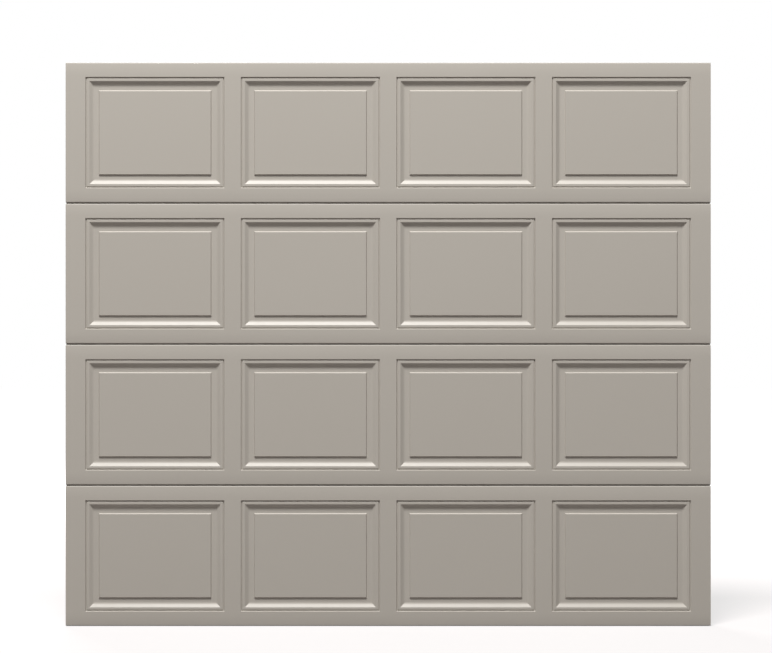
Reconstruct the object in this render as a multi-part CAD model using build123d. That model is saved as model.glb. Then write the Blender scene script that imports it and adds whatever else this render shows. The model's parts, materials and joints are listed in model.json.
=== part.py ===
from build123d import *
import os

"""Steel sectional garage door leaf: four hinged sections of embossed sheet.

Millimetres, +Z up. The outside face looks along -Y, +X is to the right of
someone who stands outside, and the origin is the middle of the bottom edge,
halfway through the leaf's depth. Every section is an open-backed pan: a
pressed front skin, a folded rail along its top and bottom, and stiles behind.
"""

# Size of the leaf
LEAF_WIDTH = 2438.4
SECTION_PITCH = 533.4
LEAF_DEPTH = 50.8
JOINT_GAP = 5.0
SECTION_NAMES = ("bottom_section", "lower_middle_section", "upper_middle_section", "top_section")

# Sheet gauges
SKIN_GAUGE = 0.6
RAIL_GAUGE = 0.6
STILE_GAUGE = 1.2
STRUT_GAUGE = 1.4
HINGE_GAUGE = 2.0

# Raised panels, four to a section
PANEL_COLUMNS = 4
PANEL_WIDTH = 526.0
PANEL_HEIGHT = 420.0
PANEL_PITCH = 588.0

# Moulding round a raised panel, as how far in from its edge and how deep
EDGE_LAP = 2.0
CREASE_RUN = 2.4
CREASE_DEPTH = 5.0
CREASE_END = 3.8
LEDGE_START = 6.6
LEDGE_DEPTH = 2.4
LEDGE_END = 15.2
SLOPE_END = 25.0
SLOPE_DEPTH = 9.0
COVE_END = 35.0
GROOVE_DEPTH = 12.1
GROOVE_END = 49.6
RISE_END = 52.8
FIELD_DEPTH = 7.4
CREASE_BEND = 0.8
RISE_BEND = 1.0

# Rolled shoulder along the top and bottom edge of a skin
SHOULDER_HEIGHT = 45.0
SHOULDER_DROP = 1.6
SHOULDER_BEND = 3.0
SKIN_RETURN = 6.0

# Tongue on a rail's top edge, and the groove that it stands in
TONGUE_FRONT = -14.0
TONGUE_BACK = -2.5
TONGUE_HEIGHT = 7.5
TONGUE_BEND = 1.6
RAIL_FLANGE_FRONT = -20.5
RAIL_FLANGE_DROP = 25.0
RAIL_BACK_DROP = 36.0
RAIL_HEM = 10.0
RAIL_BEND = 1.4
GROOVE_BACK = 2.6
GROOVE_HEIGHT = 8.0
SEAL_GROOVE_BACK = 21.0
SEAL_GROOVE_HEIGHT = 10.0

# Stiles
END_STILE_WIDTH = 78.0
END_STILE_LIP = 20.0
CENTRE_STILE_WIDTH = 80.0
CENTRE_STILE_WEB = 25.0
CENTRE_STILE_LIP = 10.0
STILE_CLEAR_OF_RAIL = 47.0
STILE_CLEAR_OF_SHOULDER = 50.0
STILE_FIT = 0.1

# Hinges on the inside face
PIN_STANDOFF = 15.0
PIN_RADIUS = 3.2
PIN_HOLE_RADIUS = 3.45
PIN_HEAD_RADIUS = 5.5
PIN_HEAD = 2.5
EAR_RADIUS = 7.0
EAR_HALF_SPAN = 19.0
KNUCKLE_RADIUS = 5.5
KNUCKLE_HALF = 12.0
HINGE_WIDTH = 72.0
HINGE_END_INSET = 40.0
LOWER_LEAF_TOP = -4.0
LOWER_LEAF_BOTTOM = -74.0
EAR_FOOT_BOTTOM = -52.0
UPPER_LEAF_BOTTOM = 8.0
UPPER_LEAF_TOP = 58.0

# Roller tubes, for stems of 11.1 mm
TUBE_BORE_RADIUS = 5.75
TUBE_RADIUS = 8.0
TUBE_HALF = 30.0
TUBE_EAR_RADIUS = 11.0
HINGE_TUBE_OUT = 3.0
HINGE_TUBE_DROP = 21.0
CORNER_TUBE_OUT = 20.0
CORNER_FOOT_HALF = 42.0
CORNER_EAR_HALF = 30.0
TOP_TUBE_DROP = 56.0
BOTTOM_TUBE_RISE = 60.0
CABLE_STUD_RADIUS = 6.0
CABLE_STUD_LENGTH = 16.0
CABLE_STUD_DROP = 24.0
CABLE_STUD_OUT = 12.0
CABLE_HEAD_RADIUS = 9.0
CABLE_HEAD = 2.5

# Stiffening strut across the back of the top section
STRUT_DROP = 150.0
STRUT_DEPTH = 56.0
STRUT_CROWN_HALF = 20.0
STRUT_MOUTH_HALF = 27.0
STRUT_FOOT_HALF = 42.0
STRUT_END_INSET = 6.0
STRUT_BEND = 4.0

# Lift handle on the inside of the bottom section
HANDLE_RISE = 300.0
HANDLE_HALF = 58.0
HANDLE_REACH = 42.0
HANDLE_ROD_RADIUS = 5.0
HANDLE_BEND = 16.0
HANDLE_FOOT_HEIGHT = 40.0
HANDLE_FOOT_GAUGE = 2.0
HANDLE_PLATE_HALF = 80.0

# Weather seal and its holder under the bottom rail
HOLDER_FRONT = -17.8
HOLDER_BACK = 19.4
HOLDER_HEIGHT = 6.0
HOLDER_WALL = 1.6
SLOT_HALF = 3.2
SLOT_MOUTH_HALF = 1.6
SLOT_INSET = 7.0
SEAL_WALL = 2.0
SEAL_BEND = 3.0
SEAL_END_INSET = 2.0

# Values worked out from the above
FRONT_Y = -LEAF_DEPTH / 2
BACK_Y = LEAF_DEPTH / 2
STILE_BACK_Y = BACK_Y + STILE_GAUGE
PLATE_BACK_Y = STILE_BACK_Y + HINGE_GAUGE
PIN_Y = STILE_BACK_Y + PIN_STANDOFF
HALF_WIDTH = LEAF_WIDTH / 2
HALF_SECTION = (SECTION_PITCH - JOINT_GAP) / 2
FLAT_HALF = HALF_SECTION - SHOULDER_HEIGHT
RAIL_HALF = HALF_WIDTH - STILE_GAUGE
HINGE_END_X = HALF_WIDTH - HINGE_END_INSET
MOULDING_RUN = RISE_END + EDGE_LAP
SECTION_COUNT = len(SECTION_NAMES)


def block(x_low, x_high, y_low, y_high, z_low, z_high):
    """A box between two corners."""
    size = (x_high - x_low, y_high - y_low, z_high - z_low)
    middle = ((x_low + x_high) / 2, (y_low + y_high) / 2, (z_low + z_high) / 2)
    return Pos(*middle) * Box(*size)


def folded_sheet(line, gauge, side):
    """The cross-section of a sheet of one gauge whose outer face is the line."""
    return make_face(offset(line, gauge, kind=Kind.ARC, side=side))


def along_x(profile, x_low, x_high):
    """A (Y, Z) profile carried from one X to another."""
    return extrude(Plane.YZ.offset(x_low) * profile, x_high - x_low)


def tube(y, z, outer, inner, x_low, x_high):
    """A round tube along X, or a rod where the inner radius is 0."""
    ring = Pos(y, z) * Circle(outer)
    if inner:
        ring -= Pos(y, z) * Circle(inner)
    return along_x(ring, x_low, x_high)


def joined(solids):
    """All the solids as one."""
    first, *rest = solids
    return first.fuse(*rest)


def write(node, solids):
    """Write one node, whose solids may be several that don't touch."""
    flat = [solid for shape in solids for solid in shape.solids()]
    export_step(Compound(children=flat) if len(flat) > 1 else flat[0], f"parts/{node}.step")


def both_ends(shape):
    """A piece at the right end and its mirror image at the left end."""
    return [shape, mirror(shape, about=Plane.YZ)]


# The pressed skin


def moulding_profile():
    """The moulding's sheet in (depth, inset), from the face to the field."""
    crease = FilletPolyline(
        (0, -EDGE_LAP),
        (0, 0),
        (CREASE_DEPTH, CREASE_RUN),
        (CREASE_DEPTH, CREASE_END),
        (LEDGE_DEPTH, LEDGE_START),
        (LEDGE_DEPTH, LEDGE_END),
        radius=CREASE_BEND,
    )
    slope = Line((LEDGE_DEPTH, LEDGE_END), (SLOPE_DEPTH, SLOPE_END))
    cove = TangentArc((GROOVE_DEPTH, COVE_END), (SLOPE_DEPTH, SLOPE_END), tangent=(0, -1))
    rise = FilletPolyline(
        (GROOVE_DEPTH, COVE_END),
        (GROOVE_DEPTH, GROOVE_END),
        (FIELD_DEPTH, RISE_END),
        (FIELD_DEPTH, RISE_END + EDGE_LAP),
        radius=RISE_BEND,
    )
    parts = (crease, slope, cove, rise)
    return folded_sheet(Wire([edge for part in parts for edge in part.edges()]), SKIN_GAUGE, Side.RIGHT)


def moulding_side(length):
    """One mitred side of a panel's moulding, lying along X with its inset along +Z."""
    run = MOULDING_RUN
    bar = along_x(moulding_profile(), -length / 2, length / 2)
    corners = [
        (-length / 2, -EDGE_LAP),
        (length / 2, -EDGE_LAP),
        (length / 2 - run - EDGE_LAP, run),
        (-length / 2 + run + EDGE_LAP, run),
    ]
    mitre = extrude(Plane.XZ * make_face(Polyline(*corners, close=True)), -GROOVE_DEPTH * 2)
    return bar & (Pos(0, -GROOVE_DEPTH / 2, 0) * mitre)


def raised_panel():
    """One embossed panel, centred on the origin with its face at y = 0."""
    wide = moulding_side(PANEL_WIDTH + 2 * EDGE_LAP)
    tall = moulding_side(PANEL_HEIGHT + 2 * EDGE_LAP)
    half_field_x = PANEL_WIDTH / 2 - MOULDING_RUN
    half_field_z = PANEL_HEIGHT / 2 - MOULDING_RUN
    field = block(
        -half_field_x, half_field_x, FIELD_DEPTH, FIELD_DEPTH + SKIN_GAUGE, -half_field_z, half_field_z
    )
    sides = [
        Pos(0, 0, -PANEL_HEIGHT / 2) * wide,
        Pos(0, 0, PANEL_HEIGHT / 2) * Rot(0, 180, 0) * wide,
        Pos(-PANEL_WIDTH / 2, 0, 0) * Rot(0, 90, 0) * tall,
        Pos(PANEL_WIDTH / 2, 0, 0) * Rot(0, -90, 0) * tall,
    ]
    return joined([field, *sides])


def shoulder():
    """The rolled top edge of a skin, from its flat face back to its return."""
    lead = 2 * SHOULDER_BEND
    roll = TangentArc((0, FLAT_HALF), (SHOULDER_DROP, HALF_SECTION - lead), tangent=(0, 1))
    lean = roll % 1
    corner = roll @ 1 + lean * (lead / lean.Y)
    bend = FilletPolyline(roll @ 1, corner, (SKIN_RETURN, HALF_SECTION), radius=SHOULDER_BEND)
    line = Wire([*roll.edges(), *bend.edges()])
    return along_x(folded_sheet(line, SKIN_GAUGE, Side.RIGHT), -HALF_WIDTH, HALF_WIDTH)


def pressed_skin():
    """A whole section's skin, with its face at y = 0 and its middle at z = 0."""
    face = block(-HALF_WIDTH, HALF_WIDTH, 0, SKIN_GAUGE, -FLAT_HALF, FLAT_HALF)
    panel = raised_panel()
    first = -PANEL_PITCH * (PANEL_COLUMNS - 1) / 2
    centres = [first + PANEL_PITCH * column for column in range(PANEL_COLUMNS)]
    half_x = PANEL_WIDTH / 2 + EDGE_LAP
    half_z = PANEL_HEIGHT / 2 + EDGE_LAP
    for x in centres:
        face -= block(x - half_x, x + half_x, -1, SKIN_GAUGE + 1, -half_z, half_z)
    top_edge = shoulder()
    bottom_edge = mirror(top_edge, about=Plane.XY)
    return joined([face, top_edge, bottom_edge, *[Pos(x, 0, 0) * panel for x in centres]])


# Rails and stiles of a section


def upper_rail(has_tongue):
    """The folded rail along a section's top edge, about the section's middle."""
    web = HALF_SECTION - SKIN_GAUGE
    points = [(RAIL_FLANGE_FRONT, web - RAIL_FLANGE_DROP), (RAIL_FLANGE_FRONT, web)]
    if has_tongue:
        tip = HALF_SECTION + TONGUE_HEIGHT
        points += [(TONGUE_FRONT, web), (TONGUE_FRONT, tip), (TONGUE_BACK, tip), (TONGUE_BACK, web)]
    points += [(BACK_Y, web), (BACK_Y, web - RAIL_BACK_DROP), (BACK_Y - RAIL_HEM, web - RAIL_BACK_DROP)]
    line = FilletPolyline(*points, radius=RAIL_BEND)
    return along_x(folded_sheet(line, RAIL_GAUGE, Side.RIGHT), -RAIL_HALF, RAIL_HALF)


def lower_rail(groove_back, groove_height):
    """The folded rail along a section's bottom edge, with the groove in its underside."""
    edge = -HALF_SECTION
    lip = FRONT_Y + SKIN_RETURN
    points = [
        (lip, edge + SKIN_GAUGE),
        (lip, edge + groove_height),
        (groove_back, edge + groove_height),
        (groove_back, edge),
        (BACK_Y, edge),
        (BACK_Y, edge + RAIL_BACK_DROP),
        (BACK_Y - RAIL_HEM, edge + RAIL_BACK_DROP),
    ]
    line = FilletPolyline(*points, radius=RAIL_BEND)
    return along_x(folded_sheet(line, RAIL_GAUGE, Side.LEFT), -RAIL_HALF, RAIL_HALF)


def end_stile():
    """The galvanised channel that closes a section's right end."""
    reach = HALF_SECTION - SKIN_GAUGE
    skin_back = FRONT_Y + SKIN_GAUGE
    inner = HALF_WIDTH - STILE_GAUGE
    middle = HALF_SECTION - STILE_CLEAR_OF_SHOULDER
    shoulder_back = skin_back + SHOULDER_DROP + STILE_FIT
    shoulder_end = HALF_SECTION - 2 * SHOULDER_BEND
    upper_half = [(skin_back, middle), (shoulder_back, shoulder_end), (RAIL_FLANGE_FRONT, shoulder_end)]
    lower_half = [(y, -z) for y, z in reversed(upper_half)]
    flange = block(HALF_WIDTH - END_STILE_WIDTH, HALF_WIDTH, BACK_Y, STILE_BACK_Y, -reach, reach)
    web = block(inner, HALF_WIDTH, RAIL_FLANGE_FRONT, BACK_Y, -reach, reach)
    tab = along_x(make_face(Polyline(*upper_half, *lower_half, close=True)), inner, HALF_WIDTH)
    lip = block(HALF_WIDTH - END_STILE_LIP, inner, skin_back, skin_back + STILE_GAUGE, -middle, middle)
    return joined([flange, web, tab, lip])


def centre_stile():
    """The galvanised hat section up the middle of a section's back."""
    reach = HALF_SECTION - SKIN_GAUGE
    middle = HALF_SECTION - STILE_CLEAR_OF_RAIL - SKIN_GAUGE
    skin_back = FRONT_Y + SKIN_GAUGE
    half = CENTRE_STILE_WIDTH / 2
    pieces = [block(-half, half, BACK_Y, STILE_BACK_Y, -reach, reach)]
    for side in (-1, 1):
        outer = side * CENTRE_STILE_WEB
        inner = side * (CENTRE_STILE_WEB - STILE_GAUGE)
        tip = side * (CENTRE_STILE_WEB - CENTRE_STILE_LIP)
        pieces.append(block(min(outer, inner), max(outer, inner), skin_back, BACK_Y, -middle, middle))
        front = (min(inner, tip), max(inner, tip), skin_back, skin_back + STILE_GAUGE)
        pieces.append(block(*front, -middle, middle))
    return joined(pieces)


# Hinges and brackets on the inside face


def ear(circles, foot_low, foot_high):
    """A flat ear's outline in (Y, Z), round the circles and down to its plate."""
    foot = Line((PLATE_BACK_Y, foot_low), (PLATE_BACK_Y, foot_high))
    rounds = [Pos(y, z) * Circle(radius) for y, z, radius in circles]
    edges = [edge for shape in rounds for edge in shape.edges()]
    return make_hull([*edges, *foot.edges()])


def pair_of_ears(outline, x, half_span):
    """Two ears of one outline, their outer faces the half span each side of x."""
    left = along_x(outline, x - half_span, x - half_span + HINGE_GAUGE)
    right = along_x(outline, x + half_span - HINGE_GAUGE, x + half_span)
    return [left, right]


def lower_leaf(x, z, with_tube):
    """A hinge's lower leaf: its plate, two ears and, at an end, the roller tube."""
    half = HINGE_WIDTH / 2
    low = z + LOWER_LEAF_BOTTOM
    plate = block(x - half, x + half, STILE_BACK_Y, PLATE_BACK_Y, low, z + LOWER_LEAF_TOP)
    circles = [(PIN_Y, z, EAR_RADIUS)]
    tube_y = PIN_Y + HINGE_TUBE_OUT
    tube_z = z - HINGE_TUBE_DROP
    if with_tube:
        circles.append((tube_y, tube_z, TUBE_EAR_RADIUS))
    outline = ear(circles, z + EAR_FOOT_BOTTOM, z + LOWER_LEAF_TOP)
    body = joined([plate, *pair_of_ears(outline, x, EAR_HALF_SPAN)])
    body -= tube(PIN_Y, z, PIN_RADIUS, 0, x - HINGE_WIDTH, x + HINGE_WIDTH)
    if with_tube:
        body += tube(tube_y, tube_z, TUBE_RADIUS, 0, x - TUBE_HALF, x + TUBE_HALF)
        body -= tube(tube_y, tube_z, TUBE_BORE_RADIUS, 0, x - HINGE_WIDTH, x + HINGE_WIDTH)
    return body


def upper_leaf(x, z):
    """A hinge's upper leaf: its plate and the arm that ends in the knuckle."""
    half = HINGE_WIDTH / 2
    low = z + UPPER_LEAF_BOTTOM
    plate = block(x - half, x + half, STILE_BACK_Y, PLATE_BACK_Y, low, z + UPPER_LEAF_TOP)
    root = Pos((STILE_BACK_Y + PLATE_BACK_Y) / 2, low + HINGE_GAUGE) * Rectangle(HINGE_GAUGE, 2 * HINGE_GAUGE)
    knuckle = Pos(PIN_Y, z) * Circle(KNUCKLE_RADIUS)
    arm = along_x(make_hull([*root.edges(), *knuckle.edges()]), x - KNUCKLE_HALF, x + KNUCKLE_HALF)
    return joined([plate, arm]) - tube(PIN_Y, z, PIN_HOLE_RADIUS, 0, x - half, x + half)


def hinge_pin(x, z):
    """The rivet that a hinge turns on, with a head outside each ear."""
    rod = tube(PIN_Y, z, PIN_RADIUS, 0, x - EAR_HALF_SPAN, x + EAR_HALF_SPAN)
    left = tube(PIN_Y, z, PIN_HEAD_RADIUS, 0, x - EAR_HALF_SPAN - PIN_HEAD, x - EAR_HALF_SPAN)
    right = tube(PIN_Y, z, PIN_HEAD_RADIUS, 0, x + EAR_HALF_SPAN, x + EAR_HALF_SPAN + PIN_HEAD)
    return joined([rod, left, right])


def corner_bracket(z, with_stud):
    """A roller bracket at a right-hand corner, with a cable stud on the bottom one."""
    x = HINGE_END_X
    half = HINGE_WIDTH / 2
    tube_y = PLATE_BACK_Y + CORNER_TUBE_OUT
    plate = block(x - half, x + half, STILE_BACK_Y, PLATE_BACK_Y, z - CORNER_FOOT_HALF, z + CORNER_FOOT_HALF)
    outline = ear([(tube_y, z, TUBE_EAR_RADIUS)], z - CORNER_EAR_HALF, z + CORNER_EAR_HALF)
    body = joined([plate, *pair_of_ears(outline, x, EAR_HALF_SPAN)])
    body += tube(tube_y, z, TUBE_RADIUS, 0, x - TUBE_HALF, x + TUBE_HALF)
    if with_stud:
        stud = PLATE_BACK_Y + CABLE_STUD_OUT, z - CABLE_STUD_DROP
        start = x + EAR_HALF_SPAN
        end = start + CABLE_STUD_LENGTH
        body += tube(*stud, CABLE_STUD_RADIUS, 0, start, end)
        body += tube(*stud, CABLE_HEAD_RADIUS, 0, end - CABLE_HEAD, end)
    return body - tube(tube_y, z, TUBE_BORE_RADIUS, 0, x - HINGE_WIDTH, x + HINGE_WIDTH)


# Strut, handle and bottom seal


def strut():
    """The hat-shaped strut across the top section's back."""
    z = SECTION_PITCH * SECTION_COUNT - JOINT_GAP / 2 - STRUT_DROP
    crown = STILE_BACK_Y + STRUT_DEPTH
    points = [
        (STILE_BACK_Y, z - STRUT_FOOT_HALF),
        (STILE_BACK_Y, z - STRUT_MOUTH_HALF),
        (crown, z - STRUT_CROWN_HALF),
        (crown, z + STRUT_CROWN_HALF),
        (STILE_BACK_Y, z + STRUT_MOUTH_HALF),
        (STILE_BACK_Y, z + STRUT_FOOT_HALF),
    ]
    profile = folded_sheet(FilletPolyline(*points, radius=STRUT_BEND), STRUT_GAUGE, Side.RIGHT)
    return along_x(profile, -HALF_WIDTH + STRUT_END_INSET, HALF_WIDTH - STRUT_END_INSET)


def lift_handle():
    """A bent rod on two feet, across the bottom section's centre stile."""
    foot_back = STILE_BACK_Y + HANDLE_FOOT_GAUGE
    reach = foot_back + HANDLE_REACH
    end = HANDLE_HALF
    half_height = HANDLE_FOOT_HEIGHT / 2
    line = FilletPolyline((-end, foot_back), (-end, reach), (end, reach), (end, foot_back), radius=HANDLE_BEND)
    start = Plane(origin=(-end, foot_back, 0), x_dir=(1, 0, 0), z_dir=(0, 1, 0))
    rod = sweep(start * Circle(HANDLE_ROD_RADIUS), path=line)
    plate = block(
        -HANDLE_PLATE_HALF, HANDLE_PLATE_HALF, STILE_BACK_Y, foot_back, -half_height, half_height
    )
    return Pos(0, 0, HANDLE_RISE) * joined([plate, rod])


def seal_holder():
    """The slotted aluminium extrusion that holds the seal, in (Y, Z)."""
    top = JOINT_GAP / 2 + SEAL_GROOVE_HEIGHT
    low = top - HOLDER_HEIGHT
    middle = (HOLDER_FRONT + HOLDER_BACK) / 2
    profile = Pos(middle, (top + low) / 2) * Rectangle(HOLDER_BACK - HOLDER_FRONT, HOLDER_HEIGHT)
    slot_height = HOLDER_HEIGHT - 2 * HOLDER_WALL
    for y in (HOLDER_FRONT + SLOT_INSET, HOLDER_BACK - SLOT_INSET):
        profile -= Pos(y, low + HOLDER_HEIGHT / 2) * Rectangle(2 * SLOT_HALF, slot_height)
        profile -= Pos(y, low) * Rectangle(2 * SLOT_MOUTH_HALF, HOLDER_HEIGHT)
    return along_x(profile, -RAIL_HALF, RAIL_HALF)


def bottom_seal():
    """The looped seal that closes the leaf against the floor."""
    low = JOINT_GAP / 2 + SEAL_GROOVE_HEIGHT - HOLDER_HEIGHT
    front = HOLDER_FRONT + SLOT_INSET - SEAL_WALL / 2
    back = HOLDER_BACK - SLOT_INSET + SEAL_WALL / 2
    line = FilletPolyline((front, low), (front, 0), (back, 0), (back, low), radius=SEAL_BEND)
    half = RAIL_HALF - SEAL_END_INSET
    return along_x(folded_sheet(line, SEAL_WALL, Side.LEFT), -half, half)


def main():
    """Write every node."""
    os.makedirs("parts", exist_ok=True)
    skin = pressed_skin()
    last = SECTION_COUNT - 1
    for index, name in enumerate(SECTION_NAMES):
        middle = SECTION_PITCH * (index + 0.5)
        groove = (SEAL_GROOVE_BACK, SEAL_GROOVE_HEIGHT) if index == 0 else (GROOVE_BACK, GROOVE_HEIGHT)
        write(f"{name}_skin", [Pos(0, FRONT_Y, middle) * skin])
        write(f"{name}_upper_rail", [Pos(0, 0, middle) * upper_rail(index < last)])
        write(f"{name}_lower_rail", [Pos(0, 0, middle) * lower_rail(*groove)])
        write(f"{name}_end_stiles", [Pos(0, 0, middle) * stile for stile in both_ends(end_stile())])
        write(f"{name}_centre_stile", [Pos(0, 0, middle) * centre_stile()])
    for joint in range(1, SECTION_COUNT):
        z = SECTION_PITCH * joint
        ends = (-HINGE_END_X, HINGE_END_X)
        hinges = (*ends, 0)
        write(f"hinge_line_{joint}_end_lower_leaves", [lower_leaf(x, z, True) for x in ends])
        write(f"hinge_line_{joint}_centre_lower_leaf", [lower_leaf(0, z, False)])
        write(f"hinge_line_{joint}_upper_leaves", [upper_leaf(x, z) for x in hinges])
        write(f"hinge_line_{joint}_pins", [hinge_pin(x, z) for x in hinges])
    top = SECTION_PITCH * SECTION_COUNT - JOINT_GAP / 2
    write("top_roller_brackets", both_ends(corner_bracket(top - TOP_TUBE_DROP, False)))
    write("bottom_roller_brackets", both_ends(corner_bracket(BOTTOM_TUBE_RISE, True)))
    write("top_strut", [strut()])
    write("lift_handle", [lift_handle()])
    write("bottom_seal_holder", [seal_holder()])
    write("bottom_seal", [bottom_seal()])


main()
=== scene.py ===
import json
import logging
import math
from dataclasses import dataclass, field
from enum import Enum

import bpy
import numpy as np
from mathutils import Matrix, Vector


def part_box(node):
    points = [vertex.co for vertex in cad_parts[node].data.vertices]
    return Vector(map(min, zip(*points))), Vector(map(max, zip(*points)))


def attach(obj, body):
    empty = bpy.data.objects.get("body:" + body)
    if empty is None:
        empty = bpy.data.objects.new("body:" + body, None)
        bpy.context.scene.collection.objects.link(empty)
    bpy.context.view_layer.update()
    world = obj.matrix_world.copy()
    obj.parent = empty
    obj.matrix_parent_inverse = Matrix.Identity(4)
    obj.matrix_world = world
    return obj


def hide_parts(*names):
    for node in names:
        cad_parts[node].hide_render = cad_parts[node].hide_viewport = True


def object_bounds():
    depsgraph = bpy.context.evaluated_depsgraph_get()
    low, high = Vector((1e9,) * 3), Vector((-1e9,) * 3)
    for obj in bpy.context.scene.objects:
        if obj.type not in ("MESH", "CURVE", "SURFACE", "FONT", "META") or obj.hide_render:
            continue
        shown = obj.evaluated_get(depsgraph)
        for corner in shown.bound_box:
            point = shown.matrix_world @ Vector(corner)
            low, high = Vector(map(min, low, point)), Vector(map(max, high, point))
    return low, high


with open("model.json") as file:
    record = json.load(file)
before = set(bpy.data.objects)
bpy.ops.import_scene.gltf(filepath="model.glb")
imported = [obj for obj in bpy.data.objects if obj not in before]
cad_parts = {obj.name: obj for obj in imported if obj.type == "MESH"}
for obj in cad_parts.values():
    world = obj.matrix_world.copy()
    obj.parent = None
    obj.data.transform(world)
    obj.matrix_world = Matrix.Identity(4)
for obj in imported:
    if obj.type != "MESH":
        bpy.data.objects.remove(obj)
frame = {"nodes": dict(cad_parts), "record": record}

CAD_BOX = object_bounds()
LOG = logging.getLogger("garage_door")

MM = 0.001
WHITE = (1, 1, 1, 1)
Number = float | int
Colour = tuple[float, float, float]
Point = tuple[float, float, float]


class Slot(Enum):
    """The record's material slots."""

    PAINT = "door_paint"
    GALVANISED = "galvanised"
    PLATED = "plated_steel"
    ALUMINIUM = "mill_aluminium"
    VINYL = "black_vinyl"


class Section(Enum):
    """The leaf's bodies, from the floor up."""

    BOTTOM = "bottom_section"
    LOWER_MIDDLE = "lower_middle_section"
    UPPER_MIDDLE = "upper_middle_section"
    TOP = "top_section"


class Axis(Enum):
    """The axis that a turned piece is round, with the two axes across it."""

    X = (0, 1, 2)
    Y = (1, 2, 0)


SECTIONS = tuple(Section)

# The section that carries the roller tubes of each owner that a mount's name starts with
TUBE_SECTIONS = {
    "bottom": Section.BOTTOM,
    "hinge_line_1": Section.BOTTOM,
    "hinge_line_2": Section.LOWER_MIDDLE,
    "hinge_line_3": Section.UPPER_MIDDLE,
    "top": Section.TOP,
}

# Edge rounding of the CAD nodes, in millimetres by a word of the node's name
EDGE_ROUNDS = {
    "pins": 0.9,
    "leaf": 0.45,
    "leaves": 0.45,
    "brackets": 0.45,
    "handle": 0.4,
    "strut": 0.3,
    "stile": 0.25,
}
EDGE_SEGMENTS = 2
EDGE_ANGLE = math.radians(40)

# The angle from which a new piece's edge stays sharp, in radians
SHARP_ANGLE = math.radians(22)

# The turn from one copy of a part to the next, in radians
TURN_PER_COPY = 1.9


# Meshes


@dataclass
class Surface:
    """Points in metres with the faces between them.

    Args:
        points: One row of X, Y and Z for each point.
        faces: Arrays of point numbers, each array with faces of one size.
    """

    points: np.ndarray
    faces: list[np.ndarray]

    def moved(self, offset: Point) -> "Surface":
        """The same surface, shifted by the offset in metres."""
        return Surface(self.points + np.array(offset), self.faces)

    def as_piece(self, name: str, body: str, slot: Slot, material: bpy.types.Material) -> bpy.types.Object:
        """Makes the surface an object that rides on a body.

        Args:
            name: The piece's name.
            body: The CAD body that it moves with.
            slot: The record's material slot for the piece; not used.
            material: Its finish.

        Returns:
            The new object, at the origin.
        """
        mesh = bpy.data.meshes.new(name)
        faces = [row for array in self.faces for row in array.tolist()]
        mesh.from_pydata(self.points.tolist(), [], faces)
        mesh.materials.append(material)
        mesh.validate()
        mesh.set_sharp_from_angle(angle=SHARP_ANGLE)
        piece = bpy.data.objects.new(name, mesh)
        bpy.context.scene.collection.objects.link(piece)
        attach(piece, body)
        return piece


def together(surfaces: list[Surface]) -> Surface:
    """Joins surfaces into one.

    Args:
        surfaces: The surfaces, each of which keeps its own points.

    Returns:
        One surface with the points and faces of all.
    """
    starts = np.cumsum([0] + [len(surface.points) for surface in surfaces])
    points = np.concatenate([surface.points for surface in surfaces])
    faces = [array + start for surface, start in zip(surfaces, starts) for array in surface.faces]
    return Surface(points, faces)


def quads(rows: int, columns: int, wrap: bool) -> np.ndarray:
    """Faces of a grid of points that is numbered row by row.

    Args:
        rows: How many rows of points there are.
        columns: How many points a row has.
        wrap: Whether the last column meets the first.

    Returns:
        One row of four point numbers for each face.
    """
    across = columns if wrap else columns - 1
    row, column = np.meshgrid(np.arange(rows - 1), np.arange(across), indexing="ij")
    following = (column + 1) % columns
    corners = (row * columns + column, row * columns + following,
               (row + 1) * columns + following, (row + 1) * columns + column)
    return np.stack(corners, axis=-1).reshape(-1, 4)


def rounded(corners: list[tuple[float, float]], radius: float, steps: int) -> np.ndarray:
    """A line through the corners, each corner between the ends an arc.

    The arc starts and ends where the tangent length, the radius times the
    tangent of half the turn, is measured back along both runs.

    Args:
        corners: The points, the two ends among them.
        radius: The radius of every arc.
        steps: How many spans each arc has.

    Returns:
        One row for each point of the line.
    """
    path = np.array(corners, float)
    pieces = [path[:1]]
    for before, corner, after in zip(path, path[1:], path[2:]):
        into = (corner - before) / np.linalg.norm(corner - before)
        out = (after - corner) / np.linalg.norm(after - corner)
        cross = into[0] * out[1] - into[1] * out[0]
        turn = math.atan2(cross, float(into @ out))
        start = corner - into * radius * math.tan(abs(turn) / 2)
        side = np.array([-into[1], into[0]]) * math.copysign(1, turn)
        centre = start + side * radius
        angle = np.linspace(0, abs(turn), steps + 1)[:, None]
        pieces.append(centre - side * radius * np.cos(angle) + into * radius * np.sin(angle))
    pieces.append(path[-1:])
    return np.concatenate(pieces)


def lathed(profile: list[tuple[float, float]], sides: int, flats: set[int], axis: Axis) -> Surface:
    """A turned piece about an axis through the origin, in metres.

    A hexagonal ring's radius is half the distance across its flats, and its
    points lie that far out over the cosine of the angle from the nearest flat's
    middle.

    Args:
        profile: Radius and height of each ring in millimetres, from the foot up.
        sides: How many points each ring has, a multiple of 12.
        flats: The numbers of the rings that are hexagonal.
        axis: The axis that the heights are measured along.

    Returns:
        The surface, closed by a face over its last ring.
    """
    rings = np.array(profile)
    angle = np.arange(sides) * 2 * math.pi / sides
    sixth = math.pi / 3
    hexagon = 1 / np.cos((angle + sixth / 2) % sixth - sixth / 2)
    shape = np.where(np.isin(np.arange(len(rings)), list(flats))[:, None], hexagon, 1.0)
    radius = rings[:, :1] * shape
    along, first, second = axis.value
    points = np.zeros((len(rings), sides, 3))
    points[..., along] = rings[:, 1:]
    points[..., first] = radius * np.cos(angle)
    points[..., second] = radius * np.sin(angle)
    last = (len(rings) - 1) * sides + np.arange(sides)
    return Surface(points.reshape(-1, 3) * MM, [quads(len(rings), sides, True)[:, ::-1], last[None, :]])


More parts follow.
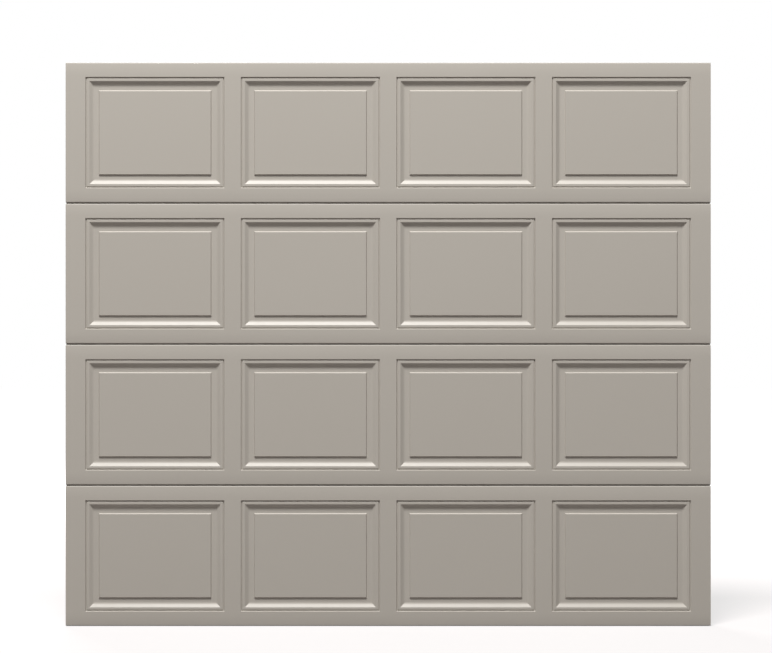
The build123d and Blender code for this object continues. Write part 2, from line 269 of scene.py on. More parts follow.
def repeated(part: Surface, places: np.ndarray, axis: Axis) -> Surface:
    """Copies of a part at the places, each turned about its axis by a different angle.

    Args:
        part: The part, at the origin.
        places: One row of X, Y and Z in millimetres for each copy.
        axis: The axis of the part.

    Returns:
        All the copies as one surface.
    """
    turn = np.arange(len(places)) * TURN_PER_COPY
    _, first, second = axis.value
    points = np.repeat(part.points[None], len(places), axis=0)
    cosine, sine = np.cos(turn)[:, None], np.sin(turn)[:, None]
    points[..., first] = part.points[:, first] * cosine - part.points[:, second] * sine
    points[..., second] = part.points[:, first] * sine + part.points[:, second] * cosine
    points += places[:, None] * MM
    starts = np.arange(len(places))[:, None, None] * len(part.points)
    faces = [(array[None] + starts).reshape(-1, array.shape[1]) for array in part.faces]
    return Surface(points.reshape(-1, 3), faces)


def midway(low: float, high: float) -> float:
    """The place half way between two places in metres, in millimetres."""
    return (low + high) / 2 / MM


# Shader maths


@dataclass(frozen=True)
class Noise:
    """Smooth noise from 0 to 1 on a finish.

    Args:
        scale: How many blobs there are to the metre.
        detail: How many finer layers lie over them.
        roughness: How strong each layer is beside the one before.
    """

    scale: float
    detail: float = 2.0
    roughness: float = 0.5


@dataclass(frozen=True)
class Relief:
    """The small height that a finish's noise stands for.

    Args:
        strength: How far it bends the normal, from 0 to 1.
        height: Its height in metres.
    """

    strength: float
    height: float


class Value:
    """A shader socket on which arithmetic adds Math nodes.

    Args:
        recipe: The material or world in the making that the socket belongs to.
        socket: The output socket, or None for a node without one.
    """

    def __init__(self, recipe: "Recipe", socket: bpy.types.NodeSocket | None) -> None:
        """Keeps the socket and its recipe."""
        self.recipe = recipe
        self.socket = socket

    def _maths(self, operation: str, left: "Value | Number", right: "Value | Number") -> "Value":
        """One Math node on two values or numbers."""
        return self.recipe.node("ShaderNodeMath", {"operation": operation}, {0: left, 1: right})

    def __add__(self, other: "Value | Number") -> "Value":
        """This value plus another."""
        return self._maths("ADD", self, other)

    def __radd__(self, other: Number) -> "Value":
        """A number plus this value."""
        return self._maths("ADD", other, self)

    def __sub__(self, other: "Value | Number") -> "Value":
        """This value less another."""
        return self._maths("SUBTRACT", self, other)

    def __rsub__(self, other: Number) -> "Value":
        """A number less this value."""
        return self._maths("SUBTRACT", other, self)

    def __mul__(self, other: "Value | Number") -> "Value":
        """This value times another."""
        return self._maths("MULTIPLY", self, other)

    def __rmul__(self, other: Number) -> "Value":
        """A number times this value."""
        return self._maths("MULTIPLY", other, self)


class Recipe:
    """A material or a world in the making.

    Args:
        name: The material's name.
        world: The world that is made instead of a material.
    """

    def __init__(self, name: str, world: bpy.types.World | None = None) -> None:
        """Starts an empty node tree."""
        self.owner = world or bpy.data.materials.new(name)
        self.owner.use_nodes = True
        self.tree = self.owner.node_tree
        self.tree.nodes.clear()

    def node(self, kind: str, settings: dict, inputs: dict, output: int | str = 0) -> Value:
        """Adds any node.

        Args:
            kind: The node's type.
            settings: Its own properties, set before its sockets.
            inputs: A number, a colour or a Value for each socket, by name or number.
            output: The output socket that is handed back.

        Returns:
            The chosen output as a Value.
        """
        node = self.tree.nodes.new(kind)
        for key, value in settings.items():
            setattr(node, key, value)
        for key, value in inputs.items():
            socket = node.inputs[key]
            if isinstance(value, Value):
                self.tree.links.new(value.socket, socket)
            else:
                socket.default_value = value
        return Value(self, node.outputs[output] if len(node.outputs) else None)

    def place(self, stretch: Point = (1, 1, 1)) -> Value:
        """Object coordinates in metres, scaled by the stretch."""
        coordinates = self.node("ShaderNodeTexCoord", {}, {}, "Object")
        return self.node("ShaderNodeMapping", {}, {"Vector": coordinates, "Scale": stretch})

    def noise(self, place: Value, noise: Noise) -> Value:
        """The noise's strength at the place."""
        inputs = {"Vector": place, "Scale": noise.scale, "Detail": noise.detail, "Roughness": noise.roughness}
        return self.node("ShaderNodeTexNoise", {}, inputs, "Fac")

    def blend(self, share: Value, first: Colour, second: Colour) -> Value:
        """A colour between two.

        Args:
            share: The share of the second colour.
            first: The colour at a share of 0.
            second: The colour at a share of 1.

        Returns:
            The blended colour.
        """
        factor, colour_a, colour_b, colour_out = 0, 6, 7, 2
        inputs = {factor: share, colour_a: (*first, 1), colour_b: (*second, 1)}
        return self.node("ShaderNodeMix", {"data_type": "RGBA"}, inputs, colour_out)

    def bump(self, height: Value, relief: Relief) -> Value:
        """A normal bent by the height, which runs from 0 to 1 over the relief."""
        inputs = {"Height": height, "Strength": relief.strength, "Distance": relief.height}
        return self.node("ShaderNodeBump", {}, inputs, "Normal")

    def seen(self) -> Value:
        """Whether the camera sees a place, also by reflection or through glass.

        Returns:
            1 less the product of 1 less each kind of ray, so 1 for any of the
            three kinds and 0 where light is cast.
        """
        kinds = ("Is Camera Ray", "Is Glossy Ray", "Is Transmission Ray")
        camera, glossy, glass = (self.node("ShaderNodeLightPath", {}, {}, kind) for kind in kinds)
        return 1 - (1 - camera) * (1 - glossy) * (1 - glass)

    def finish(self, inputs: dict) -> bpy.types.Material:
        """Ends the tree in a Principled shader.

        Args:
            inputs: A number, a colour or a Value for each of its sockets.

        Returns:
            The finished material.
        """
        shader = self.node("ShaderNodeBsdfPrincipled", {}, inputs)
        self.node("ShaderNodeOutputMaterial", {}, {"Surface": shader})
        return self.owner


# Finishes


@dataclass(frozen=True)
class PaintFinish:
    """Baked satin paint over pressed sheet, with a faint orange peel."""

    colour: Colour = (0.455, 0.425, 0.378)
    deep_colour: Colour = (0.435, 0.402, 0.355)
    cloud: Noise = Noise(1.1, 3)
    peel: Noise = Noise(520)
    speck: Noise = Noise(520 / 9, 4, 0.7)
    cloud_share: float = 0.8
    roughness: float = 0.425
    speck_roughness: float = 0.1
    specular: float = 0.4
    relief: Relief = Relief(0.35, 0.00003)

    def material(self) -> bpy.types.Material:
        """Builds the paint.

        Returns:
            The material.
        """
        recipe = Recipe("satin_door_paint")
        place = recipe.place()
        cloud = recipe.noise(place, self.cloud)
        peel = recipe.noise(place, self.peel)
        speck = recipe.noise(place, self.speck)
        share = cloud * self.cloud_share + speck * (1 - self.cloud_share)
        return recipe.finish({
            "Base Color": recipe.blend(share, self.colour, self.deep_colour),
            "Roughness": self.roughness + self.speck_roughness * speck,
            "Specular IOR Level": self.specular,
            "Normal": recipe.bump(peel, self.relief),
        })


@dataclass(frozen=True)
class GalvanisedFinish:
    """Zinc-coated sheet with spangle, dulled in patches."""

    bright: Colour = (0.5, 0.515, 0.525)
    dull: Colour = (0.34, 0.355, 0.37)
    spangle_scale: float = 85.0
    patch: Noise = Noise(6, 4, 0.6)
    grain: Noise = Noise(900)
    flake_share: float = 0.45
    metallic: float = 0.85
    roughness: float = 0.36
    dull_roughness: float = 0.18
    grain_roughness: float = 0.04
    relief: Relief = Relief(0.15, 0.00002)

    def material(self) -> bpy.types.Material:
        """Builds the zinc coat.

        Returns:
            The material.
        """
        recipe = Recipe("galvanised_sheet")
        place = recipe.place()
        spangle = {"Vector": place, "Scale": self.spangle_scale}
        cells = recipe.node("ShaderNodeTexVoronoi", {}, spangle, "Color")
        flake = recipe.node("ShaderNodeSeparateColor", {}, {"Color": cells})
        patch = recipe.noise(place, self.patch)
        grain = recipe.noise(place, self.grain)
        share = flake * self.flake_share + patch * (1 - self.flake_share)
        return recipe.finish({
            "Base Color": recipe.blend(share, self.bright, self.dull),
            "Metallic": self.metallic,
            "Roughness": self.roughness + self.dull_roughness * share + self.grain_roughness * grain,
            "Normal": recipe.bump(grain, self.relief),
        })


@dataclass(frozen=True)
class PlatedFinish:
    """Bright zinc plate on turned and headed parts."""

    bright: Colour = (0.55, 0.55, 0.52)
    worn: Colour = (0.36, 0.355, 0.33)
    patch: Noise = Noise(60, 4, 0.65)
    grain: Noise = Noise(1400)
    metallic: float = 0.9
    roughness: float = 0.24
    worn_roughness: float = 0.16
    grain_roughness: float = 0.04
    relief: Relief = Relief(0.12, 0.00002)

    def material(self) -> bpy.types.Material:
        """Builds the plating.

        Returns:
            The material.
        """
        recipe = Recipe("zinc_plate")
        place = recipe.place()
        patch = recipe.noise(place, self.patch)
        grain = recipe.noise(place, self.grain)
        return recipe.finish({
            "Base Color": recipe.blend(patch, self.bright, self.worn),
            "Metallic": self.metallic,
            "Roughness": self.roughness + self.worn_roughness * patch + self.grain_roughness * grain,
            "Normal": recipe.bump(grain, self.relief),
        })


@dataclass(frozen=True)
class AluminiumFinish:
    """Mill-finish extrusion with die lines along X."""

    bright: Colour = (0.72, 0.73, 0.74)
    dull: Colour = (0.58, 0.59, 0.6)
    lines: Noise = Noise(1800, 3)
    line_stretch: Point = (0.01, 1, 1)
    patch: Noise = Noise(9, 3)
    line_share: float = 0.5
    metallic: float = 0.95
    roughness: float = 0.28
    line_roughness: float = 0.2
    relief: Relief = Relief(0.2, 0.00002)

    def material(self) -> bpy.types.Material:
        """Builds the extrusion's finish.

        Returns:
            The material.
        """
        recipe = Recipe("mill_aluminium")
        lines = recipe.noise(recipe.place(self.line_stretch), self.lines)
        patch = recipe.noise(recipe.place(), self.patch)
        share = lines * self.line_share + patch * (1 - self.line_share)
        return recipe.finish({
            "Base Color": recipe.blend(share, self.bright, self.dull),
            "Metallic": self.metallic,
            "Roughness": self.roughness + self.line_roughness * lines,
            "Normal": recipe.bump(lines, self.relief),
        })


@dataclass(frozen=True)
class VinylFinish:
    """Soft black vinyl, dusty in places."""

    clean: Colour = (0.018, 0.018, 0.019)
    dusty: Colour = (0.06, 0.057, 0.052)
    dust: Noise = Noise(14, 5, 0.65)
    grain: Noise = Noise(1100)
    roughness: float = 0.5
    dust_roughness: float = 0.2
    relief: Relief = Relief(0.3, 0.00004)

    def material(self) -> bpy.types.Material:
        """Builds the vinyl.

        Returns:
            The material.
        """
        recipe = Recipe("black_vinyl")
        place = recipe.place()
        dust = recipe.noise(place, self.dust)
        grain = recipe.noise(place, self.grain)
        return recipe.finish({
            "Base Color": recipe.blend(dust, self.clean, self.dusty),
            "Roughness": self.roughness + self.dust_roughness * dust,
            "Normal": recipe.bump(grain, self.relief),
        })


@dataclass
class Finishes:
    """Every finish, built once and handed out by slot."""

    made: dict[Slot, bpy.types.Material] = field(init=False)

    def __post_init__(self) -> None:
        """Builds the materials."""
        self.made = {
            Slot.PAINT: PaintFinish().material(),
            Slot.GALVANISED: GalvanisedFinish().material(),
            Slot.PLATED: PlatedFinish().material(),
            Slot.ALUMINIUM: AluminiumFinish().material(),
            Slot.VINYL: VinylFinish().material(),
        }

    def of(self, slot: Slot) -> bpy.types.Material:
        """The material of a slot."""
        return self.made[slot]

    def dress_nodes(self) -> None:
        """Gives every CAD node the material of its slot in the record."""
        for row in frame["record"]["subparts"]:
            mesh = frame["nodes"][row["node"]].data
            mesh.materials.clear()
            mesh.materials.append(self.of(Slot(row["material_slot"])))


# Sub-assemblies


@dataclass
class PressedSkin:
    """A section's front sheet with its row of raised panels, in millimetres.

    The sheet is one grid. Its columns and rows are closer together across the
    mouldings, and a point's depth is the moulding's depth at the smaller of its
    two distances in from the panel's edges, which gives mitred corners.
    """

    section: Section
    gauge: float = 0.6
    panel_columns: int = 4
    panel_width: float = 526.0
    panel_height: float = 420.0
    panel_pitch: float = 588.0
    edge_lap: float = 2.0
    crease_run: float = 2.4
    crease_depth: float = 5.0
    crease_end: float = 3.8
    ledge_start: float = 6.6
    ledge_depth: float = 2.4
    ledge_end: float = 15.2
    slope_end: float = 25.0
    slope_depth: float = 9.0
    cove_end: float = 35.0
    groove_depth: float = 12.1
    groove_end: float = 49.6
    rise_end: float = 52.8
    field_depth: float = 7.4
    crease_bend: float = 0.8
    rise_bend: float = 1.0
    bend_steps: int = 4
    cove_steps: int = 9
    shoulder_height: float = 45.0
    shoulder_drop: float = 1.6
    shoulder_bend: float = 3.0
    shoulder_steps: int = 8
    shoulder_bend_steps: int = 5
    skin_return: float = 6.0
    field_lines: int = 9
    line_decimals: int = 4

    def moulding(self) -> np.ndarray:
        """The moulding's line, from the panel's edge to its raised field.

        The cove is an arc that ends level with the groove's floor: its radius
        is (run squared plus drop squared) over twice the drop.

        Returns:
            One row of inset and depth for each point.
        """
        crease_corners = [
            (-self.edge_lap, 0),
            (0, 0),
            (self.crease_run, self.crease_depth),
            (self.crease_end, self.crease_depth),
            (self.ledge_start, self.ledge_depth),
            (self.ledge_end, self.ledge_depth),
        ]
        rise_corners = [
            (self.cove_end, self.groove_depth),
            (self.groove_end, self.groove_depth),
            (self.rise_end, self.field_depth),
            (self.rise_end + self.edge_lap, self.field_depth),
        ]
        run = self.cove_end - self.slope_end
        drop = self.groove_depth - self.slope_depth
        radius = (run * run + drop * drop) / (2 * drop)
        angle = np.linspace(math.asin(run / radius), 0, self.cove_steps + 1)[:-1]
        cove = np.column_stack([
            self.cove_end - radius * np.sin(angle),
            self.groove_depth - radius + radius * np.cos(angle),
        ])
        crease = rounded(crease_corners, self.crease_bend, self.bend_steps)
        rise = rounded(rise_corners, self.rise_bend, self.bend_steps)
        return np.concatenate([crease, cove, rise[:-1]])

    def shoulder(self, half: float) -> np.ndarray:
        """A skin's top edge, from the flat to the return.

        The shoulder falls back as the square of the way up it, and a round bend
        turns it into the return.

        Args:
            half: Half of the section's height.

        Returns:
            One row of height and depth for each point.
        """
        share = np.linspace(0, 1, self.shoulder_steps + 1)[:, None]
        low = half - self.shoulder_height
        bend_start = half - self.shoulder_bend
        curve = np.hstack([low + (bend_start - low) * share, self.shoulder_drop * share**2])
        angle = np.linspace(0, math.pi / 2, self.shoulder_bend_steps + 1)[1:, None]
        bend = np.hstack([
            bend_start + self.shoulder_bend * np.sin(angle),
            self.shoulder_drop + self.shoulder_bend * (1 - np.cos(angle)),
        ])
        return np.concatenate([curve, bend, [[half, self.skin_return]]])

    def insets(self, lines: np.ndarray, edges: list[tuple[float, float]]) -> np.ndarray:
        """How far each line lies inside its panel, less than 0 outside every panel."""
        inside = [np.minimum(lines - low, high - lines) for low, high in edges]
        return np.max(inside, axis=0)

    def lines_of(self, edges: list[tuple[float, float]]) -> np.ndarray:
        """Grid lines over a row of panels, the lines of their fields among them.

        Args:
            edges: The low and high edge of each panel.

        Returns:
            The place of each line, in order and each once.
        """
        inset = self.moulding()[:, 0]
        share = np.linspace(0, 1, self.field_lines + 2)[1:-1]
        parts = []
        for low, high in edges:
            first = low + self.rise_end
            last = high - self.rise_end
            parts += [low + inset, first + (last - first) * share, high - inset[::-1]]
        return np.unique(np.round(np.concatenate(parts), self.line_decimals))

    def split(
        self, points: np.ndarray, corners: np.ndarray, centres: np.ndarray, middle: float
    ) -> list[np.ndarray]:
        """Cuts the grid's faces in two the way that the nearest panel's mitre runs.

        A mitre rises to the right in the panel's upper right and lower left
        quarters, where the product of the two distances from its centre is
        more than 0.

        Args:
            points: One row of X, Y and Z in metres for each point.
            corners: One row of four point numbers for each face.
            centres: The X of each panel's centre.
            middle: The Z of the panels' centres.

        Returns:
            Two arrays of triangles.
        """
        centre_x = points[corners, 0].mean(axis=1) / MM
        nearest = centres[np.abs(centre_x[:, None] - centres).argmin(axis=1)]
        rising = (centre_x - nearest) * (points[corners, 2].mean(axis=1) / MM - middle) > 0
        first = np.where(rising[:, None], corners[:, [0, 1, 2]], corners[:, [0, 1, 3]])
        second = np.where(rising[:, None], corners[:, [0, 2, 3]], corners[:, [1, 2, 3]])
        return [first, second]

    def surface(self) -> Surface:
        """The front face as a grid of triangles.

        Returns:
            The face with its shoulders and returns, in its place on the leaf.
        """
        low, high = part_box(f"{self.section.value}_skin")
        middle = midway(low.z, high.z)
        half_width = (high.x - low.x) / 2 / MM
        half = (high.z - low.z) / 2 / MM
        centres = (np.arange(self.panel_columns) - (self.panel_columns - 1) / 2) * self.panel_pitch
        sides = [(c - self.panel_width / 2, c + self.panel_width / 2) for c in centres]
        ends = [(-self.panel_height / 2, self.panel_height / 2)]
        edge = self.shoulder(half)
        x = np.concatenate([[-half_width], self.lines_of(sides), [half_width]])
        z = np.concatenate([-edge[::-1, 0], self.lines_of(ends), edge[:, 0]])
        setback = np.concatenate([edge[::-1, 1], np.zeros(len(z) - 2 * len(edge)), edge[:, 1]])
        inset = np.minimum(*np.meshgrid(self.insets(x, sides), self.insets(z, ends)))
        line = self.moulding()
        depth = np.interp(inset, line[:, 0], line[:, 1]) + setback[:, None]
        across, up = np.meshgrid(x, z)
        points = np.stack([across, low.y / MM + depth, up + middle], axis=-1).reshape(-1, 3) * MM
        return Surface(points, self.split(points, quads(len(z), len(x), False), centres, middle))

    def build(self, finishes: Finishes) -> bpy.types.Object:
        """Makes the skin, gives it its gauge and lets it stand for the CAD node.

        Args:
            finishes: The leaf's finishes.

        Returns:
            The skin.
        """
        body = self.section.value
        piece = self.surface().as_piece(f"{body}_pressed_skin", body, Slot.PAINT, finishes.of(Slot.PAINT))
        wall = piece.modifiers.new("gauge", "SOLIDIFY")
        wall.thickness = self.gauge * MM
        wall.offset = -1
        wall.use_even_offset = True
        piece.modifiers.new("flat_faces", "WEIGHTED_NORMAL").keep_sharp = True
        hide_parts(f"{body}_skin")
        return piece


@dataclass
class Fixings:
    """Where the fixings of one section's back are, in millimetres."""

    section: Section
    hinge_half_width: float = 36.0
    sheet: float = 2.0
    strut_sheet: float = 1.4
    spread: float = 28.0
    lower_leaf_drops: tuple[float, float] = (-64.0, -38.0)
    upper_leaf_rises: tuple[float, float] = (21.0, 47.0)
    bracket_rises: tuple[float, float] = (-34.0, 34.0)
    strut_rises: tuple[float, float] = (-35.5, 35.5)
    handle_rises: tuple[float, float] = (-11.0, 11.0)
    ear_half_span: float = 19.0
    handle_rod_radius: float = 5.0
    handle_half: float = 58.0

    @property
    def number(self) -> int:
        """The section's place, counted from the floor."""
        return SECTIONS.index(self.section)

    def hinge(self, line: int) -> Point:
        """Where a line of hinges is.

        Args:
            line: The hinge line's number, from the floor up.

        Returns:
            The outer hinges' X, the Y of the plates' backs and the pins' Z.
        """
        low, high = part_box(f"hinge_line_{line}_upper_leaves")
        pin_low, pin_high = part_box(f"hinge_line_{line}_pins")
        return high.x / MM - self.hinge_half_width, low.y / MM + self.sheet, midway(pin_low.z, pin_high.z)

    def bracket(self) -> Point:
        """A corner bracket's middle X, the Y of its plate's back and its tube's Z."""
        low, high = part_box("top_roller_brackets" if self.section is Section.TOP else "bottom_roller_brackets")
        return self.hinge(1)[0], low.y / MM + self.sheet, midway(low.z, high.z)

    def pairs(self, middles: list[float], y: float, z: float, rises: tuple[float, float]) -> np.ndarray:
        """Places in pairs either side of each middle.

        Args:
            middles: The X of each plate's middle.
            y: The Y of the plates' backs.
            z: The height that the rises are measured from.
            rises: The height of each row of pairs above z.

        Returns:
            One row of X, Y and Z for each place.
        """
        across = np.add.outer(np.array(middles), (-self.spread, self.spread)).ravel()
        x, up = np.meshgrid(across, z + np.array(rises))
        return np.column_stack([x.ravel(), np.full(x.size, y), up.ravel()])

    def screws(self) -> np.ndarray:
        """The seat of every screw on the section.

        Returns:
            One row of X, Y and Z for each screw.
        """
        parts = []
        if self.number < len(SECTIONS) - 1:
            end, y, z = self.hinge(self.number + 1)
            parts.append(self.pairs([-end, 0, end], y, z, self.lower_leaf_drops))
        if self.number > 0:
            end, y, z = self.hinge(self.number)
            parts.append(self.pairs([-end, 0, end], y, z, self.upper_leaf_rises))
        if self.section in (Section.BOTTOM, Section.TOP):
            end, y, z = self.bracket()
            parts.append(self.pairs([-end, end], y, z, self.bracket_rises))
        if self.section is Section.TOP:
            low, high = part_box("top_strut")
            y = low.y / MM + self.strut_sheet
            parts.append(self.pairs([-end, 0, end], y, midway(low.z, high.z), self.strut_rises))
        if self.section is Section.BOTTOM:
            low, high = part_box("lift_handle")
            y = low.y / MM + self.sheet
            parts.append(self.pairs([0], y, midway(low.z, high.z), self.handle_rises))
        return np.concatenate(parts)

    def tubes(self) -> list[Point]:
        """Where the section's roller tubes are.

        Returns:
            The middle of every tube between its two ears.
        """
        end = self.hinge(1)[0]
        middles = []
        for mount in frame["record"]["mounts"]:
            owner, _, _ = mount["name"].removesuffix("_roller_tube").rpartition("_")
            if TUBE_SECTIONS.get(owner) is self.section:
                x, y, z = mount["pos_m"]
                middles.append((math.copysign(end, x), y / MM, z / MM))
        return middles


@dataclass
class HexScrews:
    """Hex-headed screws with a round flange, in millimetres."""

    across_flats: float = 8.0
    flange_radius: float = 6.3
    flange_height: float = 1.1
    flange_edge: float = 0.55
    flange_bevel: float = 0.6
    flange_rise: float = 0.1
    head_height: float = 5.0
    chamfer: float = 0.5
    rim_share: float = 0.7
    dimple_share: float = 0.5
    dimple: float = 0.5
    sides: int = 24

    def head(self) -> Surface:
        """One head on the origin, its axis along Y.

        The two rings of its flats are hexagonal, and the round ring above them
        cuts their corners off.

        Returns:
            The head, open at its foot.
        """
        half = self.across_flats / 2
        top = self.head_height
        profile = [
            (self.flange_radius, 0),
            (self.flange_radius, self.flange_edge),
            (self.flange_radius - self.flange_bevel, self.flange_height),
            (half, self.flange_height + self.flange_rise),
            (half, top - self.chamfer),
            (half, top),
            (half * self.rim_share, top),
            (half * self.dimple_share, top - self.dimple),
        ]
        flats = {3, 4}
        return lathed(profile, self.sides, flats, Axis.Y)

    def build(self, fixings: Fixings, finishes: Finishes) -> bpy.types.Object:
        """Makes all the screws of one section.

        Args:
            fixings: Where they are.
            finishes: The leaf's finishes.

        Returns:
            The screws as one piece.
        """
        body = fixings.section.value
        surface = repeated(self.head(), fixings.screws(), Axis.Y)
        return surface.as_piece(f"{body}_screws", body, Slot.PLATED, finishes.of(Slot.PLATED))


@dataclass
class WeldBeads:
    """Fillet welds round tubes and rods where they meet a plate, in millimetres.

    The bead's face is given as shares of its leg, outwards and along, from the
    toe on the plate to the toe on the tube.
    """

    tube_radius: float = 8.0
    leg: float = 1.8
    face: tuple[tuple[float, float], ...] = ((1, 0), (0.75, 0.45), (0.35, 0.8), (0, 1))
    sides: int = 36

    def bead(self, radius: float, axis: Axis) -> Surface:
        """One bead, from its plate along the axis.

        Args:
            radius: The radius of the tube or rod inside it.
            axis: The axis of the tube or rod.

        Returns:
            The bead's face, open at both toes.
        """
        profile = [(radius + self.leg * out, self.leg * along) for out, along in self.face]
        bead = lathed(profile, self.sides, set(), axis)
        return Surface(bead.points, bead.faces[:1])

    def build(self, fixings: Fixings, finishes: Finishes) -> bpy.types.Object:
        """Makes the beads on the outer faces of each roller tube's ears, and at the handle's feet.

        Args:
            fixings: Where the tubes are.
            finishes: The leaf's finishes.

        Returns:
            The beads as one piece.
        """
        body = fixings.section.value
        outward = self.bead(self.tube_radius, Axis.X)
        inward = Surface(outward.points * np.array([-1, 1, 1]), [array[:, ::-1] for array in outward.faces])
        places = np.array(fixings.tubes())
        offset = np.array([fixings.ear_half_span, 0, 0])
        parts = [repeated(outward, places + offset, Axis.X), repeated(inward, places - offset, Axis.X)]
        if fixings.section is Section.BOTTOM:
            low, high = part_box("lift_handle")
            foot = np.array([0, low.y / MM + fixings.sheet, midway(low.z, high.z)])
            feet = foot + np.outer((-1, 1), (fixings.handle_half, 0, 0))
            parts.append(repeated(self.bead(fixings.handle_rod_radius, Axis.Y), feet, Axis.Y))
        zinc = finishes.of(Slot.GALVANISED)
        return together(parts).as_piece(f"{body}_weld_beads", body, Slot.GALVANISED, zinc)


@dataclass
class StiffeningBeads:
    """Long shallow ribs pressed into the back of the stiles, in millimetres."""

    width: float = 15.0
    height: float = 2.2
    low: float = -150.0
    high: float = 150.0
    high_below_strut: float = 60.0
    high_below_handle: float = -15.0
    narrowest: float = 0.06
    sides: int = 16
    end_steps: int = 9

    def rib(self, low: float, high: float) -> Surface:
        """One rib along Z with its back on y = 0.

        Its outline is a strip with half-round ends. The height is the cosine
        squared of a quarter turn times the distance from the strip's middle
        line over half the width, so the rib runs out flat into the sheet.

        Args:
            low: The Z of its lower end.
            high: The Z of its upper end.

        Returns:
            The rib's open face.
        """
        run = self.width / 2
        turn = np.linspace(0, math.pi / 2, self.end_steps + 1)
        near = np.concatenate([np.cos(turn), np.cos(turn[::-1])])[:, None]
        end = run * (1 - np.cos(turn))
        z = np.concatenate([low + end, high - end[::-1]])
        across = np.linspace(-1, 1, self.sides + 1) * np.maximum(np.sqrt(1 - near**2), self.narrowest)
        reach = np.minimum(np.sqrt(near**2 + across**2), 1)
        y = self.height * np.cos(reach * math.pi / 2) ** 2
        points = np.stack([across * run, y, np.broadcast_to(z[:, None], y.shape)], axis=-1).reshape(-1, 3)
        return Surface(points * MM, [quads(len(z), self.sides + 1, False)])

    def build(self, fixings: Fixings, finishes: Finishes) -> bpy.types.Object:
        """Makes the ribs on a section's three stiles.

        Args:
            fixings: The section and its hinges' places.
            finishes: The leaf's finishes.

        Returns:
            The ribs as one piece.
        """
        body = fixings.section.value
        low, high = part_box(f"{body}_end_stiles")
        middle = (low.z + high.z) / 2
        end = fixings.hinge(1)[0] * MM
        side_high = self.high_below_strut if fixings.section is Section.TOP else self.high
        centre_high = self.high_below_handle if fixings.section is Section.BOTTOM else side_high
        side = self.rib(self.low, side_high)
        centre = self.rib(self.low, centre_high)
        ribs = [rib.moved((x, high.y, middle)) for rib, x in ((side, -end), (side, end), (centre, 0))]
        zinc = finishes.of(Slot.GALVANISED)
        return together(ribs).as_piece(f"{body}_stile_ribs", body, Slot.GALVANISED, zinc)


@dataclass
class SealCords:
    """The round edges of the bottom seal inside the holder's two slots, in millimetres."""

    inset: float = 7.0
    half_width: float = 2.8
    half_height: float = 1.2
    end_inset: float = 1.0
    sides: int = 20

    def build(self, finishes: Finishes) -> bpy.types.Object:
        """Makes both cords, which show at the ends of the holder.

        Args:
            finishes: The leaf's finishes.

        Returns:
            The cords as one piece.
        """
        low, high = (np.array(corner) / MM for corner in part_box("bottom_seal_holder"))
        angle = np.arange(self.sides) * 2 * math.pi / self.sides
        z = (low[2] + high[2]) / 2 + self.half_height * np.sin(angle)
        outer = (low[0] + self.end_inset, high[0] - self.end_inset)
        cap = np.arange(self.sides)
        faces = [quads(2, self.sides, True), np.stack([cap[::-1], cap + self.sides])]
        cords = []
        for middle in (low[1] + self.inset, high[1] - self.inset):
            y = middle + self.half_width * np.cos(angle)
            ends = [np.column_stack([np.full(self.sides, x), y, z]) for x in outer]
            cords.append(Surface(np.concatenate(ends) * MM, faces))
        body = Section.BOTTOM.value
        return together(cords).as_piece("bottom_seal_cords", body, Slot.VINYL, finishes.of(Slot.VINYL))


# Studio


@dataclass(frozen=True)
class Lamp:
    """A square lamp that faces the leaf's middle.

    Args:
        name: The lamp's name.
        azimuth: Degrees to the left of straight in front.
        elevation: Degrees above the leaf's middle.
        distance: Metres from the leaf's middle.
        size: The lamp's side in metres.
        power: Its power in watts.
    """

    name: str
    azimuth: float
    elevation: float
    distance: float
    size: float
    power: float

    def build(self) -> None:
        """Hangs the lamp."""
        low, high = CAD_BOX
        target = (low + high) / 2
        turn, rise = math.radians(self.azimuth), math.radians(self.elevation)
        away = (-math.sin(turn) * math.cos(rise), -math.cos(turn) * math.cos(rise), math.sin(rise))
        data = bpy.data.lights.new(self.name, "AREA")
        data.size = self.size
        data.energy = self.power
        lamp = bpy.data.objects.new(self.name, data)
        lamp.location = [target[i] + away[i] * self.distance for i in range(3)]
        lamp.rotation_euler = (target - lamp.location).to_track_quat("-Z", "Y").to_euler()
        bpy.context.scene.collection.objects.link(lamp)


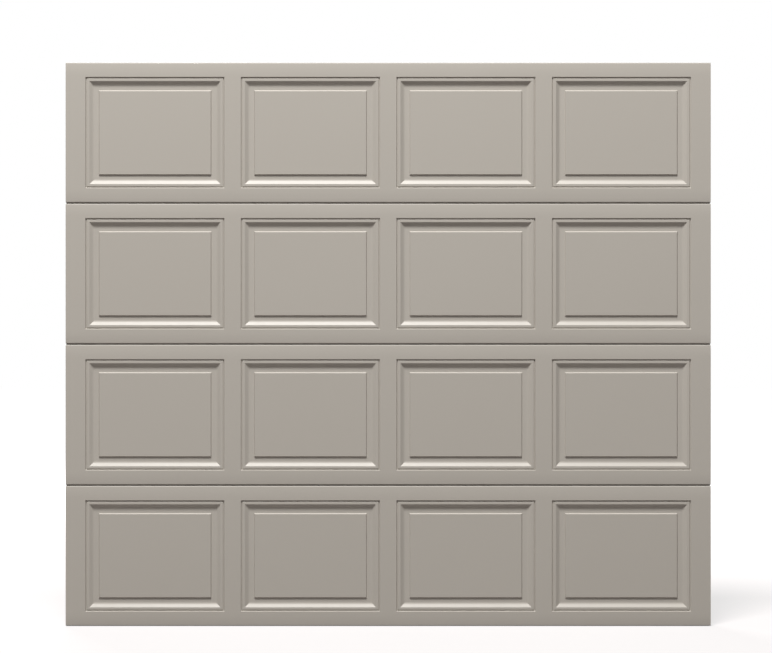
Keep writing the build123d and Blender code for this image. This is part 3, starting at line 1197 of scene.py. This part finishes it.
@dataclass
class Studio:
    """Floor, lights and the camera of the photograph's view."""

    photo_width: float = 772.0
    photo_height: float = 653.0
    leaf_middle_column: float = 388.2
    leaf_bottom_row: float = 625.8
    leaf_width_pixels: float = 645.2
    camera_distance: float = 8.0
    sensor: float = 36.0
    lamps: tuple[Lamp, ...] = (
        Lamp("key", azimuth=13.0, elevation=63.5, distance=11.7, size=3.0, power=2130.0),
        Lamp("inside_key", azimuth=160.0, elevation=24.0, distance=9.0, size=4.0, power=700.0),
    )
    fill_level: float = 0.09
    floor_size: float = 60.0
    floor_colour: Colour = (0.225, 0.204, 0.2)
    floor_deep_colour: Colour = (0.205, 0.188, 0.184)
    floor_patch: Noise = Noise(0.7)
    glow_start: float = 1.8
    glow_end: float = 5.0
    glow_near: float = 0.68

    def camera(self) -> None:
        """A level camera whose frame sets the leaf where the photograph has it."""
        low, high = CAD_BOX
        metre_per_pixel = (high.x - low.x) / self.leaf_width_pixels
        across = (self.photo_width / 2 - self.leaf_middle_column) * metre_per_pixel
        skin_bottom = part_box("bottom_section_skin")[0].z
        height = skin_bottom + (self.leaf_bottom_row - self.photo_height / 2) * metre_per_pixel
        data = bpy.data.cameras.new("camera")
        data.sensor_width = self.sensor
        data.lens = self.sensor * self.camera_distance / (self.photo_width * metre_per_pixel)
        camera = bpy.data.objects.new("camera", data)
        camera.location = (across, low.y - self.camera_distance, height)
        camera.rotation_euler = (math.pi / 2, 0, 0)
        bpy.context.scene.collection.objects.link(camera)
        bpy.context.scene.camera = camera

    def sky(self) -> None:
        """An even grey sky that is seen as white."""
        world = bpy.data.worlds.new("sky")
        recipe = Recipe("sky", world)
        fill = recipe.node("ShaderNodeBackground", {}, {"Strength": self.fill_level})
        white = recipe.node("ShaderNodeBackground", {}, {"Color": WHITE})
        both = recipe.node("ShaderNodeMixShader", {}, {0: recipe.seen(), 1: fill, 2: white})
        recipe.node("ShaderNodeOutputWorld", {}, {"Surface": both})
        bpy.context.scene.world = world

    def floor_finish(self) -> bpy.types.Material:
        """A matt floor with a glow that shows only where the floor is seen, weaker near the leaf.

        Returns:
            The material.
        """
        recipe = Recipe("pale_floor")
        patch = recipe.noise(recipe.place(), self.floor_patch)
        colour = recipe.blend(patch, self.floor_colour, self.floor_deep_colour)
        paint = recipe.node("ShaderNodeBsdfDiffuse", {}, {"Color": colour})
        reach = recipe.node("ShaderNodeVectorMath", {"operation": "LENGTH"}, {0: recipe.place()}, "Value")
        level = recipe.node("ShaderNodeMapRange", {}, {
            "Value": reach,
            "From Min": self.glow_start,
            "From Max": self.glow_end,
            "To Min": self.glow_near,
            "To Max": 1.0,
        })
        glow = recipe.node("ShaderNodeEmission", {}, {"Color": WHITE, "Strength": recipe.seen() * level})
        both = recipe.node("ShaderNodeAddShader", {}, {0: paint, 1: glow})
        recipe.node("ShaderNodeOutputMaterial", {}, {"Surface": both})
        return recipe.owner

    def floor(self) -> None:
        """A pale floor that is seen nearly white, with the leaf's shadow on it."""
        half = self.floor_size / 2
        corners = [(-half, -half, 0), (half, -half, 0), (half, half, 0), (-half, half, 0)]
        mesh = bpy.data.meshes.new("floor")
        mesh.from_pydata(corners, [], [(0, 1, 2, 3)])
        mesh.materials.append(self.floor_finish())
        plane = bpy.data.objects.new("floor", mesh)
        bpy.context.scene.collection.objects.link(plane)

    def build(self) -> None:
        """Sets the whole studio."""
        bpy.context.scene.view_settings.view_transform = "Standard"
        self.camera()
        for lamp in self.lamps:
            lamp.build()
        self.sky()
        self.floor()


def soften_edges() -> None:
    """Rounds the edges of the CAD nodes of thick sheet, bar and rod with a small bevel."""
    for name, node in frame["nodes"].items():
        width = next((size for word, size in EDGE_ROUNDS.items() if word in name), None)
        if width:
            bevel = node.modifiers.new("edge_round", "BEVEL")
            bevel.width = width * MM
            bevel.segments = EDGE_SEGMENTS
            bevel.limit_method = "ANGLE"
            bevel.angle_limit = EDGE_ANGLE
            bevel.harden_normals = True


def main() -> None:
    """Builds the finishes, the leaf's pieces and the studio in order."""
    logging.basicConfig(level=logging.INFO, format="%(message)s")
    finishes = Finishes()
    finishes.dress_nodes()
    for section in SECTIONS:
        fixings = Fixings(section)
        pieces = [
            PressedSkin(section).build(finishes),
            HexScrews().build(fixings, finishes),
            WeldBeads().build(fixings, finishes),
            StiffeningBeads().build(fixings, finishes),
        ]
        for piece in pieces:
            LOG.info("built %s", piece.name)
    LOG.info("built %s", SealCords().build(finishes).name)
    soften_edges()
    Studio().build()


if __name__ == "__main__":
    main()
